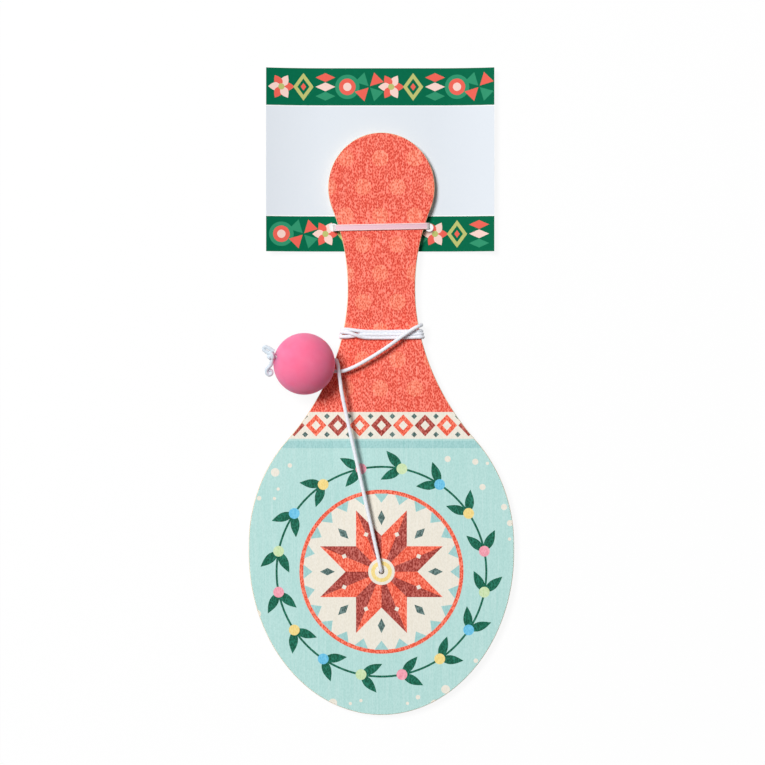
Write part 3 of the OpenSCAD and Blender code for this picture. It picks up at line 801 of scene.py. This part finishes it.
def makeCard():
    (x0, y0, _), (x1, y1, _) = cardBox
    xs, levels = cardCurl()
    thick = card["thick"]

    def curl(spots):
        return np.interp(spots[:, 0], xs, levels)

    border = block(x0, y0, x1, y1)
    holes = [[(x, y) for x, y in loop] for loop in cardHoles()]
    strips = np.linspace(x0, x1, int((x1 - x0) / card["stripWidth"]) + 1)
    shapes = [("ground", block(a, y0, b, y1)) for a, b in zip(strips[:-1], strips[1:])]
    topLow, lowTop = y1 - card["topBand"], y0 + card["lowBand"]
    shapes += [("white", block(x0, topLow - card["whiteLine"], x1, topLow)),
               ("white", block(x0, lowTop, x1, lowTop + card["whiteLine"])),
               ("green", block(x0, topLow, x1, y1)), ("green", block(x0, y0, x1, lowTop))]
    shapes += [*bandMotifs(x0 + 2, x1 - 2, (topLow + y1) / 2, 0),
               *bandMotifs(x0 + 2, x1 - 2, (y0 + lowTop) / 2, 3)]
    sheet = printedSheet("card", border, holes, border, shapes, cardInks, curl,
                         lambda spots: curl(spots) - thick, (coatedBoard(), plainBoard()))
    addPiece("hangCard", sheet, "card", ("card",))
    print("card:", len(sheet.polygons), "faces")


def cardHoles():
    # the two punched holes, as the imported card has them
    spots = np.array([v.co for v in frame["nodes"]["card"].data.vertices]) / mm
    inner = spots[(spots[:, 1] > cardBox[0][1] + 1) & (spots[:, 1] < cardBox[1][1] - 1)]
    for side in (-1, 1):
        ring = inner[np.sign(inner[:, 0]) == side][:, :2]
        middle = (ring.min(0) + ring.max(0)) / 2
        radius = (ring.max(0) - ring.min(0)).max() / 2
        tear = 0.3 if side < 0 else 0  # the left hole is a little torn
        yield [(middle[0] + r * math.cos(a), middle[1] + r * math.sin(a)) for a, r in (
            (t, radius * (1 + tear * math.exp(-((t - 2.5) / 0.3) ** 2)))
            for t in (2 * math.pi * i / 40 for i in range(40)))]


makeCard()


# The strap: a nylon band with two rails, through the card's holes and over the handle

strap = {"width": 3.0, "thick": 0.7, "rail": 0.55, "dip": 0.14, "bend": 1.25,
         "tilt": math.radians(1.2), "lap": 14.0}  # mm


def naturalNylon(name, colour, through):
    # uncoloured nylon: milky; the pink base colour given where it lies on the handle is painted red light
    # from the handle below
    material, tree = newMaterial(name)
    coords = addNode(tree, "ShaderNodeTexCoord")
    haze = addNode(tree, "ShaderNodeTexNoise", None,
                   {"Vector": coords.outputs["Object"], "Scale": 1 / (0.8 * mm), "Detail": 3})
    bump = addNode(tree, "ShaderNodeBump", None,
                   {"Strength": 0.15, "Distance": 0.05 * mm, "Height": haze.outputs[0]})
    shader = addNode(tree, "ShaderNodeBsdfPrincipled", None, {
        "Base Color": linear(colour), "Roughness": 0.35, "IOR": 1.53, "Specular IOR Level": 0.5,
        "Normal": bump.outputs[0]})
    passed = addNode(tree, "ShaderNodeBsdfTranslucent", None, {"Color": linear(colour)})
    mix = addNode(tree, "ShaderNodeMixShader", None, {0: through, 1: shader.outputs[0], 2: passed.outputs[0]})
    addNode(tree, "ShaderNodeOutputMaterial", None, {"Surface": mix.outputs[0]})
    return material


def makeStrap():
    s = strap
    y = (strapBox[0][1] + strapBox[1][1]) / 2
    halfWide = (strapBox[1][0] - strapBox[0][0]) / 2 / math.cos(s["tilt"]) - 0.05
    low, high = strapBox[0][2] + s["thick"], strapBox[1][2]
    bend = s["bend"]
    halfX, middleZ, halfZ = halfWide - s["thick"] / 2, (low + high) / 2, (high - low) / 2 - s["thick"] / 2
    loop = []
    for cx, cz, first in ((1, 1, 0), (-1, 1, 90), (-1, -1, 180), (1, -1, 270)):
        for k in range(7):
            a = math.radians(first + 15 * k)
            loop.append((cx * (halfX - bend) + bend * math.cos(a),
                         middleZ + cz * (halfZ - bend) + bend * math.sin(a)))
    loop = np.array(loop)
    ahead = np.roll(loop, -1, axis=0) - np.roll(loop, 1, axis=0)
    outwards = np.stack([ahead[:, 1], -ahead[:, 0]], axis=1) / np.linalg.norm(ahead, axis=1)[:, None]
    w, t, rail, dip = s["width"] / 2, s["thick"] / 2, s["rail"], s["dip"]
    profile = [(-w + 0.12, t), (-w, t - 0.12), (-w, -t + 0.12), (-w + 0.12, -t), (-w + rail, -t),
               (-w + rail + 0.15, -t + dip), (w - rail - 0.15, -t + dip), (w - rail, -t), (w - 0.12, -t),
               (w, -t + 0.12), (w, t - 0.12), (w - 0.12, t), (w - rail, t), (w - rail - 0.15, t - dip),
               (-w + rail + 0.15, t - dip), (-w + rail, t)]

    def place(px, across, pz):
        return Vector((px * math.cos(s["tilt"]) - across * math.sin(s["tilt"]),
                       y + px * math.sin(s["tilt"]) + across * math.cos(s["tilt"]), pz)) * mm

    bm = bmesh.new()
    rows = [[bm.verts.new(place(x + nx * out, across, z + nz * out)) for across, out in profile]
            for (x, z), (nx, nz) in zip(loop, outwards)]
    # faces lying on the handle get pink nylon, a lighter pink on the rails: painted red light coming up
    # through the band
    onRed = outwards[:, 1] > 0.99
    for k, (a, b) in enumerate(zip(rows, rows[1:] + rows[:1])):
        for i, (across, _) in enumerate(profile):
            j = (i + 1) % len(profile)
            face = bm.faces.new((a[i], a[j], b[j], b[i]))
            if onRed[k] and onRed[(k + 1) % len(rows)]:
                face.material_index = 1 + int(min(abs(across), abs(profile[j][0])) > w - rail - 0.01)
    # the welded lap behind the card
    lapVerts = bmesh.ops.create_cube(bm, size=1)["verts"]
    for v in lapVerts:
        v.co = place(v.co.x * s["lap"], v.co.y * s["width"], strapBox[0][2] + (v.co.z + 0.5) * s["thick"])
    lapEdges = list({e for v in lapVerts for e in v.link_edges})
    bmesh.ops.bevel(bm, geom=lapEdges, offset=0.15 * mm, segments=2, affect="EDGES")
    bmesh.ops.recalc_face_normals(bm, faces=bm.faces)
    mesh = bpy.data.meshes.new("strap")
    bm.to_mesh(mesh)
    bm.free()
    mesh.shade_smooth()
    mesh.set_sharp_from_angle(angle=math.radians(35))
    mesh.materials.append(naturalNylon("naturalNylon", "#f3f1f2", 0.4))
    # the pink of film and rails is painted red light from the handle below
    mesh.materials.append(naturalNylon("nylonFilmPaintedRedLight", "#f8cedb", 0.15))
    mesh.materials.append(naturalNylon("nylonRailPaintedRedLight", "#ffdcdf", 0.1))
    addPiece("nylonStrap", mesh, "card", ("strap",))
    print("strap: ready")


makeStrap()


# The ball: moulded rubber, bored through for the cord

ball = {"boreRadius": 1.4, "mouthRound": 0.7, "segments": 96, "rings": 64}


def pinkRubber():
    # moulded sponge rubber: dusty matt pink with a fine skin
    material, tree = newMaterial("mouldedSpongeRubber")
    coords = addNode(tree, "ShaderNodeTexCoord")
    cloud = addNode(tree, "ShaderNodeTexNoise", None,
                    {"Vector": coords.outputs["Object"], "Scale": 1 / (6 * mm), "Detail": 4})
    skin = addNode(tree, "ShaderNodeTexNoise", None,
                   {"Vector": coords.outputs["Object"], "Scale": 1 / (0.5 * mm), "Detail": 2})
    tone = addNode(tree, "ShaderNodeMix", {"data_type": "RGBA"},
                   {0: cloud.outputs[0], 6: linear("#fd6e95"), 7: linear("#ff87ac")})
    bump = addNode(tree, "ShaderNodeBump", None,
                   {"Strength": 0.2, "Distance": 0.05 * mm, "Height": skin.outputs[0]})
    shader = addNode(tree, "ShaderNodeBsdfPrincipled", None, {
        "Base Color": tone.outputs[2], "Roughness": 0.8, "Specular IOR Level": 0.35,
        "Sheen Weight": 0.12, "Sheen Roughness": 0.4,
        "Subsurface Weight": 1.0, "Subsurface Radius": (1.0, 0.25, 0.3), "Subsurface Scale": 12 * mm,
        "Normal": bump.outputs[0]})
    addNode(tree, "ShaderNodeOutputMaterial", None, {"Surface": shader.outputs[0]})
    return material


def makeBall():
    bore, mouth = ball["boreRadius"], ball["mouthRound"]
    # the fillet's middle lies mouth outside the bore and mouth inside the sphere
    filletR = bore + mouth
    filletH = math.sqrt((ballRadius - mouth) ** 2 - filletR ** 2)
    leave = math.atan2(filletR, filletH)
    half = [(bore, 0)]
    half += [(filletR + mouth * math.cos(a), filletH + mouth * math.sin(a))
             for a in np.linspace(math.pi, math.pi / 2 - leave, 9)]
    half += [(ballRadius * math.sin(a), ballRadius * math.cos(a))
             for a in np.linspace(leave, math.pi / 2, ball["rings"] // 2)[1:]]
    profile = half + [(r, -h) for r, h in half[-2::-1]][:-1]
    axis = Vector(boreDir)
    across = axis.orthogonal().normalized()
    third = axis.cross(across)
    bm = bmesh.new()
    rows = []
    for i in range(ball["segments"]):
        a = 2 * math.pi * i / ball["segments"]
        out = across * math.cos(a) + third * math.sin(a)
        rows.append([bm.verts.new((Vector(ballAt) + out * r + axis * h) * mm) for r, h in profile])
    for a, b in zip(rows, rows[1:] + rows[:1]):
        for i in range(len(profile)):
            j = (i + 1) % len(profile)
            bm.faces.new((a[i], a[j], b[j], b[i]))
    bmesh.ops.recalc_face_normals(bm, faces=bm.faces)
    mesh = bpy.data.meshes.new("ball")
    bm.to_mesh(mesh)
    bm.free()
    mesh.shade_smooth()
    mesh.materials.append(pinkRubber())
    addPiece("rubberBall", mesh, "ball", ("ball",))
    print("ball: ready")


makeBall()


# Stage: a white floor that keeps a soft shadow, a key light from the upper left and even fill

light = {"turn": 142, "rise": 60, "distance": 4.0, "keySize": 1.3, "keyPower": 163.0, "fill": 0.14,
         "floorGlow": 0.92}  # degrees, metres, watts


def makeStage():
    bm = bmesh.new()
    bmesh.ops.create_grid(bm, x_segments=1, y_segments=1, size=6)
    mesh = bpy.data.meshes.new("floor")
    bm.to_mesh(mesh)
    bm.free()
    floor = bpy.data.objects.new("floor", mesh)
    bpy.context.scene.collection.objects.link(floor)
    floor.location.z = -0.2 * mm
    material, tree = newMaterial("whitePaperSweep")
    rays = addNode(tree, "ShaderNodeLightPath")
    seen = addNode(tree, "ShaderNodeMath", {"operation": "MAXIMUM"},
                   {0: rays.outputs["Is Camera Ray"], 1: rays.outputs["Is Glossy Ray"]})
    seen = addNode(tree, "ShaderNodeMath", {"operation": "MAXIMUM"},
                   {0: seen.outputs[0], 1: rays.outputs["Is Transmission Ray"]})
    share = addNode(tree, "ShaderNodeMath", {"operation": "MULTIPLY"},
                    {0: seen.outputs[0], 1: light["floorGlow"]})
    paper = addNode(tree, "ShaderNodeBsdfDiffuse", None, {"Color": linear("#fafafa")})
    glow = addNode(tree, "ShaderNodeEmission", None, {"Color": (1, 1, 1, 1), "Strength": 1})
    mix = addNode(tree, "ShaderNodeMixShader", None,
                  {0: share.outputs[0], 1: paper.outputs[0], 2: glow.outputs[0]})
    addNode(tree, "ShaderNodeOutputMaterial", None, {"Surface": mix.outputs[0]})
    mesh.materials.append(material)

    lamp = bpy.data.lights.new("key", "AREA")
    lamp.size = light["keySize"]
    lamp.energy = light["keyPower"]
    key = bpy.data.objects.new("key", lamp)
    bpy.context.scene.collection.objects.link(key)
    turn, rise = math.radians(light["turn"]), math.radians(light["rise"])
    key.location = Vector((math.cos(turn) * math.cos(rise), math.sin(turn) * math.cos(rise),
                           math.sin(rise))) * light["distance"]
    key.rotation_mode = "QUATERNION"
    key.rotation_quaternion = (-key.location).to_track_quat("-Z", "Y")

    world = bpy.data.worlds.new("studio")
    bpy.context.scene.world = world
    world.use_nodes = True
    tree = world.node_tree
    tree.nodes.clear()
    rays = addNode(tree, "ShaderNodeLightPath")
    strength = addNode(tree, "ShaderNodeMapRange", None,
                       {0: rays.outputs["Is Camera Ray"], 3: light["fill"], 4: 1.0})
    back = addNode(tree, "ShaderNodeBackground", None,
                   {"Color": (1, 1, 1, 1), "Strength": strength.outputs[0]})
    addNode(tree, "ShaderNodeOutputWorld", None, {"Surface": back.outputs[0]})
    bpy.context.scene.view_settings.view_transform = "Standard"


makeStage()
print("stage: ready")
